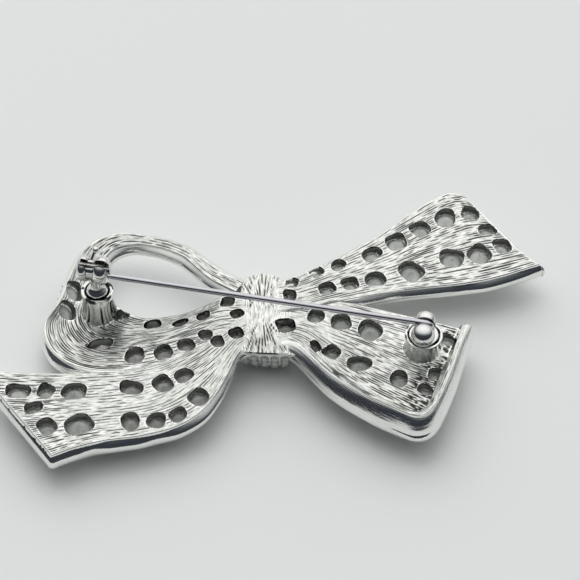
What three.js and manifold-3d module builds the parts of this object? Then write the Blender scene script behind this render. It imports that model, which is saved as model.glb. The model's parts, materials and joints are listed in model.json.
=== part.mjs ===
// A cast ribbon-bow brooch with a pin stem, a riveted hinge and a turning safety catch.
// Millimetres. The bow lies on its front: +Z points out of its back, and z = 0 is the plane it rests on.
// +X runs along the pin stem from the catch to the hinge. The origin is the middle of the knot's front.
import * as THREE from 'three';
import { mergeVertices } from 'three/addons/utils/BufferGeometryUtils.js';
import Module from 'manifold-3d';

const wasm = await Module();
wasm.setup();

// ---------- driving dimensions ----------

const RIBBON_THICKNESS = 2.0;
const STEPS_PER_STATION = 2;
const PLATE_SHARES = [0, 0.1, 0.37, 0.63, 0.9, 1];
// The back's edges lie inside the rails, and the sides stand out past them.
const EDGE_INSET = 0.2;
const SIDE_SWELL = 0.85;
const FRONT_SWELL = 0.65;
const END_LEAN = 0.8;

// The pin's line, and the two findings that carry it.
const PIN_Y = -0.8;
const HINGE_X = 22.9;
const WIRE_RADIUS = 0.42;
const EYE_RADIUS = 1.0;
const RIVET_Z = 9.85;
const PIN_TAPER = 6;
// The pin rises a little towards the catch, and lies near the foot of the catch's bore.
const PIN_TILT = THREE.MathUtils.degToRad(0.61);
const catchAxis = { x: -24.15, y: -0.4, z: 11.8 };
const PIN_TIP_X = catchAxis.x - 1.2;
const PIN_Z_AT_CATCH = RIVET_Z + EYE_RADIUS + (HINGE_X - catchAxis.x) * Math.tan(PIN_TILT);

const catchPost = { x: -23.5, foot: 2.4, rim: 7.85, radius: 2.3, flare: 0.6, cup: 1.8, cupDepth: 0.6 };
const hingePost = { x: HINGE_X, foot: 4.8, rim: 8.35, radius: 2.65, flare: 0.3, cup: 2.2, cupDepth: 0.4 };
const FOOT_GAP = 0.05;

// Along the catch's axis, from the middle of the lever's slot.
const lobes = [
  { from: -1.8, to: -0.4, radius: 1.8, bevel: 0.45 },
  { from: 0.4, to: 2.6, radius: 2.0, bevel: 0.7 },
];
const rotator = { from: -1.35, to: 1.7, outer: 1.35, inner: 1.05, mouth: 1.1, bore: 1.45, endPlay: 0.05 };
const lever = { lean: 45, tilt: 14, from: 1.15, reach: 2.8, thickness: 0.34, width: 0.7, ball: 0.5, shift: -0.1 };
// Each cheek is a ball cut flat on its inner side, with its middle this far out from that side.
const CHEEK_GAP = 1.3;
const cheeks = [
  { side: -1, radius: 1.65, middle: 0.75 },
  { side: 1, radius: 1.5, middle: 0.45 },
];
const rivet = { radius: 0.42, bore: 0.52, depth: 0.95, length: 3.0 };

// Stones: how far the table stands out of the ribbon's front, and the room around each one.
const STONE_PROUD = 0.3;
const STONE_GAP = 0.25;
const STONE_SIDES = 8;

// ---------- the ribbons ----------
// Each station is [one rail's x, y, z, the other rail's x, y, z, crown, bow, border]. Rails lie on the back
// surface. The crown lifts the middle between them, the bow pushes it square to the line between them, and
// the border is how far the ribbon's edges stand out of its front.

const ribbons = {
  left_loop: [
    [-3.8, 6.0, 6.2, -4.6, 3.7, 6.2, 0, 0, 0],
    [-8.3, 8.0, 6.4, -9.0, 5.6, 6.2, 0, 0, 0],
    [-13.4, 10.8, 6.5, -13.6, 8.9, 6.2, 0, 0, 0],
    [-18.8, 11.7, 6.5, -18.6, 10.1, 6.0, 0, 0, 0],
    [-24.0, 11.7, 6.2, -22.8, 9.5, 5.4, 0, 0, 0.1],
    [-27.3, 9.3, 5.8, -24.6, 7.4, 4.8, -0.2, 0, 0.3],
    [-28.6, 5.6, 5.4, -24.6, 4.6, 4.0, -0.5, 0, 0.6],
    [-29.2, -1.2, 5.0, -23.4, 2.4, 3.6, -0.9, 0, 0.9],
    [-30.2, -6.2, 4.9, -21.6, 0.9, 3.3, -1.1, 0, 0.9],
    [-27.5, -10.7, 4.9, -19.3, -0.1, 3.2, -0.8, 0, 0.9],
    [-22.5, -12.7, 5.0, -16.4, -0.7, 3.3, 0.2, 0, 0.9],
    [-16.2, -12.0, 5.2, -12.1, 0.3, 3.8, 0.8, 0, 0.8],
    [-11.1, -9.6, 5.5, -8.7, 1.9, 4.6, 0.7, 0, 0.6],
    [-6.0, -6.3, 5.9, -6.4, 3.4, 5.6, 0.3, 0, 0.3],
    [-2.0, -4.0, 6.1, -3.0, 3.5, 6.1, 0, 0, 0],
  ],
  left_tail: [
    [-1.0, 2.0, 6.1, 0.5, -5.0, 6.0, 0, 0, 0],
    [-3.6, -1.3, 6.1, -1.8, -6.6, 6.0, 0.1, 0, 0],
    [-7.5, -6.4, 5.9, -2.7, -10.7, 5.8, 0.3, 0, 0.1],
    [-11.2, -9.4, 5.6, -3.6, -14.1, 5.5, 0.4, 0, 0.3],
    [-14.0, -11.0, 5.4, -5.2, -17.5, 5.2, 0.4, 0, 0.5],
    [-17.0, -12.1, 5.3, -8.2, -20.3, 5.0, 0.3, 0, 0.7],
    [-20.5, -13.0, 5.4, -12.4, -22.5, 5.0, 0.2, 0, 0.8],
    [-25.5, -14.2, 5.5, -16.6, -24.1, 5.2, 0, 0, 0.9],
    [-31.5, -15.2, 5.6, -20.4, -26.2, 5.4, 0, 0, 0.9],
    [-37.3, -15.6, 5.8, -23.0, -28.2, 5.6, 0, 0, 0.9],
  ],
  right_tail: [
    [-1.0, 6.0, 6.1, 0.5, 0.5, 6.1, 0, 0, 0],
    [1.9, 7.2, 6.2, 4.9, 2.4, 6.1, 0, 0, 0],
    [6.4, 10.7, 6.4, 10.5, 5.0, 6.0, 0, 0, 0.2],
    [12.6, 16.6, 6.6, 18.0, 8.3, 5.8, 0, 0, 0.4],
    [16.3, 20.9, 7.0, 22.5, 10.0, 5.6, 0.1, 0, 0.5],
    [20.0, 25.2, 7.3, 27.5, 11.6, 5.6, 0.2, -0.1, 0.6],
    [22.8, 27.2, 7.6, 32.0, 13.6, 5.7, 0.2, -0.3, 0.7],
    [25.1, 27.0, 7.6, 37.6, 17.0, 5.8, 0, -0.6, 0.8],
  ],
  right_loop: [
    [0.5, 4.0, 6.1, 1.0, -4.0, 6.0, 0, 0, 0],
    [5.5, 4.6, 6.0, 6.1, -3.6, 5.8, -0.2, 0, 0],
    [10.9, 5.2, 5.9, 10.2, -7.0, 5.2, -0.3, 0, 0],
    [18.9, 4.5, 5.9, 15.2, -10.2, 5.0, -0.3, 0, 0.2],
    [24.0, 3.9, 6.0, 20.6, -12.8, 5.2, -0.4, 0, 0.4],
    [28.4, 3.2, 6.2, 24.4, -14.6, 5.6, -0.5, 0.3, 0.5],
  ],
  // The rolled edge of the right loop: along its near side, round the corner and up its open end.
  right_band: [
    [2.5, -2.0, 6.1, 2.0, -5.3, 5.9, 0, 0, 0],
    [6.1, -3.0, 6.3, 5.3, -5.2, 5.5, 0.4, 0, 0],
    [10.2, -6.4, 6.5, 11.3, -10.2, 4.9, 0.8, 0, 0],
    [14.9, -9.5, 6.7, 17.2, -13.3, 4.8, 1, 0, 0.1],
    [20.0, -12.0, 7.0, 21.2, -14.7, 4.9, 1.1, 0, 0.2],
    [23.4, -13.1, 7.1, 24.2, -15.4, 5.0, 1, 0, 0.1],
    [25.0, -12.3, 7.2, 26.3, -13.9, 5.3, 0.8, 0, 0],
    [25.8, -9.6, 7.3, 27.4, -10.3, 6.1, 0.55, 0, 0],
    [26.6, -5.2, 7.3, 28.2, -5.7, 6.4, 0.5, 0, 0],
    [27.2, -1.3, 7.3, 28.7, -1.8, 6.5, 0.45, 0, 0],
    [27.8, 3.3, 6.9, 29.3, 3.6, 6.5, 0.2, 0, 0],
  ],
};
const BAND_CORNER = 5;
const BAND_DEPTH = [2.0, 1.3];
const RIM_DEPTH = 3.8;

// The knot runs across the ribbons. Its front is a dome with a flat middle, on which the brooch rests.
const knotStations = [
  [-3.9, 6.4, 6.05, 1.6, 7.3, 6.05, 0.1, 1.0, 0],
  [-4.3, 5.0, 6.0, 2.2, 5.6, 6.0, 0.25, 0.5, 0],
  [-3.6, 1.0, 5.95, 4.0, 1.4, 5.85, 0.3, 0, 0],
  [-2.8, -3.0, 5.95, 4.6, -3.0, 5.85, 0.3, 0, 0],
  [-2.0, -6.5, 6.0, 5.0, -5.6, 6.0, 0.2, -0.2, 0],
];
const KNOT_END_Z = 3.8;
const KNOT_SIDE_Z = 1.8;
const KNOT_SHARES = [0, 0.2, 0.4, 0.6, 0.8, 1];

// ---------- the stones: [x, y, hole diameter], by ribbon ----------

const stones = {
  left_loop: [
    [-27.6, 1.4, 2.6], [-27.8, -2.0, 2.6], [-20.2, -0.9, 2.0], [-15.4, -2.2, 2.6], [-11.5, -2.0, 2.2],
    [-8.6, -0.6, 2.0], [-5.5, 2.1, 2.0], [-3.6, 0.0, 1.8], [-21.8, -7.0, 3.2], [-16.3, -9.2, 3.0],
    [-12.4, -8.3, 2.6], [-9.5, -6.6, 2.3], [-7.2, -4.5, 2.0], [-5.3, -5.4, 1.9], [-3.0, -3.5, 2.0],
  ],
  left_tail: [
    [-30.4, -18.4, 2.9], [-26.7, -17.6, 2.4], [-22.9, -16.9, 3.0], [-15.4, -14.9, 2.8], [-11.3, -13.6, 2.8],
    [-8.7, -11.9, 2.5], [-5.9, -15.0, 2.7], [-27.6, -20.7, 2.2], [-25.0, -23.4, 2.7], [-20.9, -22.2, 3.6],
    [-14.2, -20.4, 2.8], [-10.8, -19.6, 2.5], [-8.1, -18.2, 2.3],
  ],
  right_tail: [
    [3.0, 6.9, 1.8], [3.1, 4.6, 2.0], [6.1, 9.4, 2.0], [9.0, 11.2, 2.1], [13.4, 14.1, 2.6], [16.5, 16.9, 2.9],
    [19.6, 19.7, 2.8], [22.9, 22.3, 3.2], [26.4, 23.8, 2.5], [29.3, 21.4, 2.3], [31.7, 19.0, 2.5],
    [28.6, 16.9, 3.3], [24.8, 15.5, 3.3], [19.4, 12.2, 3.4], [14.6, 9.8, 2.8], [11.2, 8.3, 2.3], [8.1, 6.8, 2.3],
  ],
  right_loop: [
    [7.4, 1.9, 2.3], [11.0, 1.6, 2.7], [15.2, 0.9, 3.4], [3.6, -0.7, 2.5], [8.2, -3.2, 1.7], [10.6, -3.6, 2.3],
    [14.6, -4.9, 3.0], [20.4, -6.5, 2.7], [25.9, 0.9, 2.2], [25.2, -5.0, 2.1], [24.2, -7.8, 2.1],
  ],
};
// Stones too small or too close to the knot for a solid of their own here: their holes are still open.
const LEFT_OPEN = { left_loop: [7], right_loop: [4] };

// ---------- materials ----------

function metal(color, roughness) {
  return new THREE.MeshStandardMaterial({ color, roughness, metalness: 1 });
}

const silverPlate = metal(0xd9dad6, 0.3);
const steelWire = metal(0xb8b9c0, 0.15);
const polishedSteel = metal(0xcfd0d2, 0.12);
const crystal = new THREE.MeshStandardMaterial({ color: 0xdde2dd, roughness: 0.02, metalness: 0 });
crystal.transparent = true;
crystal.opacity = 0.35;

// ---------- solids ----------

function solidOf(geometry) {
  const bare = geometry.clone();
  bare.deleteAttribute('normal');
  bare.deleteAttribute('uv');
  const merged = mergeVertices(bare, 1e-4);
  return new wasm.Manifold(new wasm.Mesh({
    numProp: 3,
    vertProperties: merged.attributes.position.array,
    triVerts: new Uint32Array(merged.index.array),
  }));
}

function geometryOf(solid) {
  const mesh = solid.getMesh();
  const geometry = new THREE.BufferGeometry();
  geometry.setAttribute('position', new THREE.BufferAttribute(mesh.vertProperties, 3));
  geometry.setIndex(new THREE.BufferAttribute(mesh.triVerts, 1));
  return geometry;
}

function union(solids) {
  return solids.reduce((all, one) => all.add(one));
}

// A solid of revolution about its own Z axis, from [radius, z] pairs that start and end on the axis.
function turned(profile, sides) {
  const points = profile.map(([radius, z]) => new THREE.Vector2(radius, z));
  return new THREE.LatheGeometry(points, sides).rotateX(Math.PI / 2);
}

function rod(radius, from, to, sides) {
  return turned([[0, from], [radius, from], [radius, to], [0, to]], sides);
}

function alongX(geometry, x, y, z) {
  return geometry.rotateY(Math.PI / 2).translate(x, y, z);
}

function alongY(geometry, x, y, z) {
  return geometry.rotateX(-Math.PI / 2).translate(x, y, z);
}

function block(low, high) {
  const size = high.map((value, i) => value - low[i]);
  const middle = high.map((value, i) => (value + low[i]) / 2);
  return new THREE.BoxGeometry(...size).translate(...middle);
}

// ---------- ribbons ----------

// A value along the stations, smooth through each of them.
function smooth(stations, along) {
  const last = stations.length - 1;
  const i = Math.min(Math.floor(along), last - 1);
  const t = along - i;
  const here = stations[i];
  const next = stations[i + 1];
  const before = stations[i - 1] ?? here.map((value, k) => 2 * value - next[k]);
  const after = stations[i + 2] ?? next.map((value, k) => 2 * value - here[k]);
  return here.map((value, k) => THREE.MathUtils.lerp(value, next[k], t)
    + t * (1 - t) * ((1 - t) * (value - (before[k] + next[k]) / 2) + t * (next[k] - (value + after[k]) / 2)));
}

function backPoint(stations, along, across) {
  const s = smooth(stations, along);
  const a = new THREE.Vector3(s[0], s[1], s[2]);
  const b = new THREE.Vector3(s[3], s[4], s[5]);
  const hump = 4 * across * (1 - across);
  const onward = new THREE.Vector3(a.y - b.y, b.x - a.x, 0).normalize();
  const point = a.lerp(b, across).addScaledVector(onward, s[7] * hump);
  point.z += s[6] * hump;
  return point;
}

function widestOf(stations) {
  return Math.max(...stations.map((s) => Math.hypot(s[3] - s[0], s[4] - s[1], s[5] - s[2])));
}

// The level direction from one point to another.
function levelBetween(from, to) {
  return new THREE.Vector3(to.x - from.x, to.y - from.y, 0).normalize();
}

// A strip between a ribbon's back surface and its front, which lies frontOf(point, along, across) high.
// Its sides swell outwards, and a free end leans out by lean.
function strip(stations, shares, frontOf, lean = 0) {
  const stepsAlong = (stations.length - 1) * STEPS_PER_STATION;
  const row = shares.length;
  const count = (stepsAlong + 1) * row;
  const inset = EDGE_INSET / widestOf(stations);
  const placeOn = (along, share) => backPoint(stations, along, inset + (1 - 2 * inset) * share);
  const back = [];
  const front = [];
  const middles = [];
  for (let i = 0; i <= stepsAlong; i++) {
    const along = i / STEPS_PER_STATION;
    for (const share of shares) {
      const top = placeOn(along, share);
      const bottom = top.clone().setZ(frontOf(top, along, share));
      const atEdge = share === 0 || share === 1;
      const outward = levelBetween(placeOn(along, 0.5), top);
      if (atEdge) {
        bottom.z -= smooth(stations, along)[8];
        middles.push(...top.clone().lerp(bottom, 0.5).addScaledVector(outward, SIDE_SWELL).toArray());
        bottom.addScaledVector(outward, FRONT_SWELL);
      }
      if (i === stepsAlong) bottom.addScaledVector(levelBetween(placeOn(along - 0.1, share), top), lean);
      back.push(...top.toArray());
      front.push(...bottom.toArray());
    }
  }
  const faces = [];
  const triangle = (a, b, c) => faces.push(a, b, c);
  const quad = (a, b, c, d) => faces.push(a, b, c, a, c, d);
  const backAt = (i, j) => i * row + j;
  const frontAt = (i, j) => count + i * row + j;
  const middleAt = (i, side) => 2 * count + 2 * i + side;
  const end = row - 1;
  for (let i = 0; i < stepsAlong; i++) {
    for (let j = 0; j < end; j++) {
      quad(backAt(i, j), backAt(i, j + 1), backAt(i + 1, j + 1), backAt(i + 1, j));
      quad(frontAt(i, j), frontAt(i + 1, j), frontAt(i + 1, j + 1), frontAt(i, j + 1));
    }
    quad(backAt(i, 0), backAt(i + 1, 0), middleAt(i + 1, 0), middleAt(i, 0));
    quad(middleAt(i, 0), middleAt(i + 1, 0), frontAt(i + 1, 0), frontAt(i, 0));
    quad(backAt(i + 1, end), backAt(i, end), middleAt(i, 1), middleAt(i + 1, 1));
    quad(middleAt(i + 1, 1), middleAt(i, 1), frontAt(i, end), frontAt(i + 1, end));
  }
  for (let j = 0; j < end; j++) {
    quad(backAt(0, j + 1), backAt(0, j), frontAt(0, j), frontAt(0, j + 1));
    quad(backAt(stepsAlong, j), backAt(stepsAlong, j + 1), frontAt(stepsAlong, j + 1), frontAt(stepsAlong, j));
  }
  triangle(frontAt(0, 0), backAt(0, 0), middleAt(0, 0));
  triangle(backAt(0, end), frontAt(0, end), middleAt(0, 1));
  triangle(backAt(stepsAlong, 0), frontAt(stepsAlong, 0), middleAt(stepsAlong, 0));
  triangle(frontAt(stepsAlong, end), backAt(stepsAlong, end), middleAt(stepsAlong, 1));
  const geometry = new THREE.BufferGeometry();
  geometry.setAttribute('position', new THREE.Float32BufferAttribute([...back, ...front, ...middles], 3));
  geometry.setIndex(faces);
  const solid = solidOf(geometry);
  if (solid.volume() > 0) return solid;
  geometry.setIndex(faces.reverse());
  return solidOf(geometry);
}

// ---------- the casting ----------

function knotFront(point, along, across) {
  const ends = knotStations.length - 1;
  const past = Math.max(1 - along, along - (ends - 1), 0);
  const side = across === 0 || across === 1 ? KNOT_SIDE_Z : 0;
  return Math.max(KNOT_END_Z * past, side);
}

function post({ x, foot, rim, radius, flare, cup, cupDepth }) {
  const sides = 24;
  const outside = turned([[0, foot], [radius + flare, foot], [radius, rim - 1], [radius, rim], [0, rim]], sides);
  const inside = rod(cup, rim - cupDepth, rim + 1, sides);
  return solidOf(outside).subtract(solidOf(inside)).translate([x, PIN_Y, 0]);
}

// The place on a ribbon's back at x, y, with the surface's normal.
function seatAt(stations, x, y) {
  const fine = 40;
  const target = new THREE.Vector2(x, y);
  let best = { distance: Infinity };
  for (let i = 0; i <= (stations.length - 1) * fine; i++) {
    for (let j = 1; j < fine; j++) {
      const point = backPoint(stations, i / fine, j / fine);
      const distance = target.distanceTo(point);
      if (distance < best.distance) best = { distance, point, along: i / fine, across: j / fine };
    }
  }
  const step = 1 / fine;
  const here = best.point;
  const alongIt = backPoint(stations, Math.max(best.along - step, 0), best.across).sub(here);
  const acrossIt = backPoint(stations, best.along, best.across - step).sub(here);
  const normal = alongIt.cross(acrossIt).normalize();
  if (normal.z < 0) normal.negate();
  return { point: new THREE.Vector3(x, y, here.z), normal };
}

// Turns a geometry made along Z so that it stands along the seat's normal.
function seated(geometry, { point, normal }) {
  const turn = new THREE.Quaternion().setFromUnitVectors(new THREE.Vector3(0, 0, 1), normal);
  return geometry.applyQuaternion(turn).translate(point.x, point.y, point.z);
}

function stoneHole(seat, diameter) {
  const reach = RIBBON_THICKNESS + 1.2;
  return solidOf(seated(rod(diameter / 2, -reach, 0.8, STONE_SIDES), seat));
}

function bowCasting(seats) {
  const plateFront = (point) => point.z - RIBBON_THICKNESS;
  const rimEnd = ribbons.right_band.length - 1;
  const bandFront = (point, along, across) => {
    const upTheRim = THREE.MathUtils.clamp((along - BAND_CORNER) / (rimEnd - BAND_CORNER), 0, 1);
    return point.z - THREE.MathUtils.lerp(THREE.MathUtils.lerp(...BAND_DEPTH, across), RIM_DEPTH, upTheRim);
  };
  const strips = [
    strip(ribbons.left_loop, PLATE_SHARES, plateFront),
    strip(ribbons.left_tail, PLATE_SHARES, plateFront, END_LEAN),
    strip(ribbons.right_tail, PLATE_SHARES, plateFront, END_LEAN),
    strip(ribbons.right_loop, PLATE_SHARES, plateFront),
    strip(ribbons.right_band, [0, 0.5, 1], bandFront),
    strip(knotStations, KNOT_SHARES, knotFront),
  ];
  const holes = seats.map(({ seat, diameter }) => stoneHole(seat, diameter));
  return union(strips).subtract(union(holes)).add(post(catchPost)).add(post(hingePost));
}

// ---------- stones ----------

function brilliant(diameter) {
  const girdle = diameter / 2 - STONE_GAP;
  const table = -RIBBON_THICKNESS - STONE_PROUD;
  const crown = 0.3 * girdle;
  const pavilion = 0.85 * girdle;
  return turned([[0, table], [0.6 * girdle, table], [girdle, table + crown], [0, table + crown + pavilion]],
    STONE_SIDES);
}

// ---------- the catch ----------

// Sets a solid made about the origin on the catch's axis.
function onCatchAxis(solid) {
  return solid.translate([catchAxis.x, catchAxis.y, catchAxis.z]);
}

function catchHousing() {
  const sides = 24;
  const rounded = ({ from, to, radius, bevel }) => turned([[0, from], [radius - bevel, from], [radius, from + bevel],
    [radius, to - bevel], [radius - bevel, to], [0, to]], sides);
  const footLow = catchPost.rim - catchPost.cupDepth + FOOT_GAP;
  const foot = turned([[0, footLow], [1.45, footLow], [1.45, 7.95], [0.75, 8.6], [0.75, 10.2], [0, 10.2]], sides)
    .translate(catchPost.x, PIN_Y, 0);
  const saddle = block([-1.3, -0.7, -1.95], [1.6, 0.4, -1.5]);
  const bodies = [saddle, ...lobes.map((lobe) => alongX(rounded(lobe), 0, 0, 0))].map(solidOf).map(onCatchAxis);
  const low = rotator.from - rotator.endPlay;
  const bore = onCatchAxis(solidOf(alongX(rod(rotator.bore, low, rotator.to + rotator.endPlay, sides), 0, 0, 0)));
  const wireWay = alongX(rod(rotator.mouth / 2, 0, 3, 12), catchAxis.x, PIN_Y, PIN_Z_AT_CATCH);
  const mouth = block([catchAxis.x + low, PIN_Y - rotator.mouth / 2, PIN_Z_AT_CATCH],
    [catchAxis.x + 3, PIN_Y + rotator.mouth / 2, PIN_Z_AT_CATCH + 4]);
  return union([solidOf(foot), ...bodies]).subtract(bore).subtract(solidOf(wireWay)).subtract(solidOf(mouth));
}

function catchRotator() {
  const tube = solidOf(alongX(rod(rotator.outer, rotator.from, rotator.to, 24), 0, 0, 0))
    .subtract(solidOf(alongX(rod(rotator.inner, -9, 9, 16), 0, 0, 0)));
  const offset = PIN_Y - catchAxis.y;
  const mouth = solidOf(block([-9, offset - rotator.mouth / 2, 0], [9, offset + rotator.mouth / 2, 1.4]));
  const arm = block([-lever.thickness / 2, -lever.width / 2, 0], [lever.thickness / 2, lever.width / 2,
    lever.reach - lever.from]);
  const ball = new THREE.SphereGeometry(lever.ball + 0.01, 16, 12).translate(0, 0, lever.reach - lever.from);
  const handle = union([solidOf(arm), solidOf(ball)])
    .rotate([0, lever.tilt, 0]).translate([lever.shift, 0, lever.from]).rotate([-lever.lean, 0, 0]);
  return onCatchAxis(tube.add(handle).subtract(mouth));
}

// ---------- the hinge ----------

function hingeHousing() {
  const sides = 24;
  const footLow = hingePost.rim - hingePost.cupDepth + FOOT_GAP;
  const pieces = [rod(2.05, footLow, footLow + 0.45, sides).translate(HINGE_X, PIN_Y, 0)];
  for (const { side, radius, middle } of cheeks) {
    const low = -Math.asin(middle / radius);
    const profile = [[0, 0]];
    for (let i = 0; i < 7; i++) {
      const angle = THREE.MathUtils.lerp(low, Math.PI / 2, i / 7);
      profile.push([radius * Math.cos(angle), middle + radius * Math.sin(angle)]);
    }
    profile.push([0, middle + radius]);
    const inner = PIN_Y + side * CHEEK_GAP / 2;
    const outer = inner + side * 1.0;
    pieces.push(turned(profile, sides).rotateX(-side * Math.PI / 2).translate(HINGE_X, inner, RIVET_Z));
    pieces.push(block([HINGE_X - 1.0, Math.min(inner, outer), footLow + 0.2],
      [HINGE_X + 1.0, Math.max(inner, outer), RIVET_Z - 0.65]));
  }
  const reach = CHEEK_GAP / 2 + rivet.depth;
  const bore = alongY(rod(rivet.bore, -reach, reach, 16), HINGE_X, PIN_Y, RIVET_Z);
  return union(pieces.map(solidOf)).subtract(solidOf(bore));
}

function hingeRivet() {
  return solidOf(alongY(rod(rivet.radius, -rivet.length / 2, rivet.length / 2, 16), HINGE_X, PIN_Y, RIVET_Z));
}

// ---------- the pin stem ----------

function pinStem() {
  const length = HINGE_X - PIN_TIP_X;
  const wire = turned([[0, 0], [0.12, 0.15], [WIRE_RADIUS * 0.75, PIN_TAPER * 0.5], [WIRE_RADIUS, PIN_TAPER],
    [WIRE_RADIUS, length], [0, length]], 12);
  const eye = new THREE.TorusGeometry(EYE_RADIUS, WIRE_RADIUS, 12, 28).rotateX(Math.PI / 2);
  const whole = solidOf(alongX(wire, -length, 0, EYE_RADIUS)).add(solidOf(eye));
  return whole.rotate([0, THREE.MathUtils.radToDeg(PIN_TILT), 0]).translate([HINGE_X, PIN_Y, RIVET_Z]);
}

// ---------- assembly ----------

const seats = Object.entries(stones).flatMap(([ribbon, list]) => list.map(([x, y, diameter], i) => ({
  name: `crystal_${ribbon}_${i + 1}`,
  seat: seatAt(ribbons[ribbon], x, y),
  diameter,
  open: (LEFT_OPEN[ribbon] ?? []).includes(i),
})));

const brooch = new THREE.Group();

function addPiece(name, geometry, material) {
  const mesh = new THREE.Mesh(geometry, material);
  mesh.name = name;
  brooch.add(mesh);
}

addPiece('bow_casting', geometryOf(bowCasting(seats)), silverPlate);
addPiece('catch_base', geometryOf(catchHousing()), polishedSteel);
addPiece('catch_rotator', geometryOf(catchRotator()), polishedSteel);
addPiece('hinge_base', geometryOf(hingeHousing()), polishedSteel);
addPiece('hinge_rivet', geometryOf(hingeRivet()), steelWire);
addPiece('pin_stem', geometryOf(pinStem()), steelWire);
for (const { name, seat, diameter, open } of seats) {
  if (!open) addPiece(name, seated(brilliant(diameter), seat), crystal);
}

export default brooch;
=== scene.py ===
"""A cast ribbon-bow brooch lying on its front: engraved silver-tone ribbons with open-backed crystals,
a knot, two posts, a riveted pin stem and a turning safety catch.

Lengths in this script are millimetres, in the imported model's own frame, and every mesh is scaled to
metres as it is made. +Z points out of the brooch's back, +X runs along the pin stem to the hinge."""

import json
import math

import bmesh
import bpy
import numpy as np
from mathutils import Matrix, Vector


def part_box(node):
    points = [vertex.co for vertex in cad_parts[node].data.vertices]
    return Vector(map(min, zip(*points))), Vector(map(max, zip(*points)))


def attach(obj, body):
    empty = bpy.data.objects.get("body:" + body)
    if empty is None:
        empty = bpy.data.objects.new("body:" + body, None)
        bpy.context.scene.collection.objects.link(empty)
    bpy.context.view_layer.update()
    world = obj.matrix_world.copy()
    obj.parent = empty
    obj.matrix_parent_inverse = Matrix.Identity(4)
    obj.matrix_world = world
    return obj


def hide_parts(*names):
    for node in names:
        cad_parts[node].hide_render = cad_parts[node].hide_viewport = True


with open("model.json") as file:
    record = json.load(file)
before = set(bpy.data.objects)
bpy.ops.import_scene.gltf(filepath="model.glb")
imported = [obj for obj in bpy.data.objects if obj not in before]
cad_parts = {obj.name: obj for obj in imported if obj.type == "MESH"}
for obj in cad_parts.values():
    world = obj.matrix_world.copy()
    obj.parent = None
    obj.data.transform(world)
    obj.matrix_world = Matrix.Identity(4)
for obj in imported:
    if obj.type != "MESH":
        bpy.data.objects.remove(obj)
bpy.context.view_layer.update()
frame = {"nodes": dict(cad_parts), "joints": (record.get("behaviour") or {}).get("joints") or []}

MM = 0.001
SEED = 11

# ---- the ribbons ----
# Each station is one rail's x, y, z, the other rail's x, y, z, the crown, the bow and the border. Rails lie
# on the back surface. The crown lifts the middle between them, the bow pushes it square to the line between
# them, and the border is how far the ribbon's edges stand out of its front.

LEFT_LOOP = [
    (-3.8, 6.0, 6.2, -4.6, 3.7, 6.2, 0, 0, 0),
    (-8.3, 8.0, 6.4, -9.0, 5.6, 6.2, 0, 0, 0),
    (-13.4, 10.8, 6.5, -13.6, 8.9, 6.2, 0, 0, 0),
    (-18.8, 11.7, 6.5, -18.6, 10.1, 6.0, 0, 0, 0),
    (-24.0, 11.7, 6.2, -22.8, 9.5, 5.4, 0, 0, 0.1),
    (-27.3, 9.3, 5.8, -24.6, 7.4, 4.8, -0.2, 0, 0.3),
    (-28.6, 5.6, 5.4, -24.6, 4.6, 4.0, -0.5, 0, 0.6),
    (-29.2, -1.2, 5.0, -23.4, 2.4, 3.6, -0.9, 0, 0.9),
    (-30.2, -6.2, 4.9, -21.6, 0.9, 3.3, -1.1, 0, 0.9),
    (-27.5, -10.7, 4.9, -19.3, -0.1, 3.2, -0.8, 0, 0.9),
    (-22.5, -12.7, 5.0, -16.4, -0.7, 3.3, 0.2, 0, 0.9),
    (-16.2, -12.0, 5.2, -12.1, 0.3, 3.8, 0.8, 0, 0.8),
    (-11.1, -9.6, 5.5, -8.7, 1.9, 4.6, 0.7, 0, 0.6),
    (-6.0, -6.3, 5.9, -6.4, 3.4, 5.6, 0.3, 0, 0.3),
    (-2.0, -4.0, 6.1, -3.0, 3.5, 6.1, 0, 0, 0),
]
LEFT_TAIL = [
    (-1.0, 2.0, 6.1, 0.5, -5.0, 6.0, 0, 0, 0),
    (-3.6, -1.3, 6.1, -1.8, -6.6, 6.0, 0.1, 0, 0),
    (-7.5, -6.4, 5.9, -2.7, -10.7, 5.8, 0.3, 0, 0.1),
    (-11.2, -9.4, 5.6, -3.6, -14.1, 5.5, 0.4, 0, 0.3),
    (-14.0, -11.0, 5.4, -5.2, -17.5, 5.2, 0.4, 0, 0.5),
    (-17.0, -12.1, 5.3, -8.2, -20.3, 5.0, 0.3, 0, 0.7),
    (-20.5, -13.0, 5.4, -12.4, -22.5, 5.0, 0.2, 0, 0.8),
    (-25.5, -14.2, 5.5, -16.6, -24.1, 5.2, 0, 0, 0.9),
    (-31.5, -15.2, 5.6, -20.4, -26.2, 5.4, 0, 0, 0.9),
    (-37.3, -15.6, 5.8, -23.0, -28.2, 5.6, 0, 0, 0.9),
]
RIGHT_TAIL = [
    (-1.0, 6.0, 6.1, 0.5, 0.5, 6.1, 0, 0, 0),
    (1.9, 7.2, 6.2, 4.9, 2.4, 6.1, 0, 0, 0),
    (6.4, 10.7, 6.4, 10.5, 5.0, 6.0, 0, 0, 0.2),
    (12.6, 16.6, 6.6, 18.0, 8.3, 5.8, 0, 0, 0.4),
    (16.3, 20.9, 7.0, 22.5, 10.0, 5.6, 0.1, 0, 0.5),
    (20.0, 25.2, 7.3, 27.5, 11.6, 5.6, 0.2, -0.1, 0.6),
    (22.8, 27.2, 7.6, 32.0, 13.6, 5.7, 0.2, -0.3, 0.7),
    (25.1, 27.0, 7.6, 37.6, 17.0, 5.8, 0, -0.6, 0.8),
]
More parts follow.
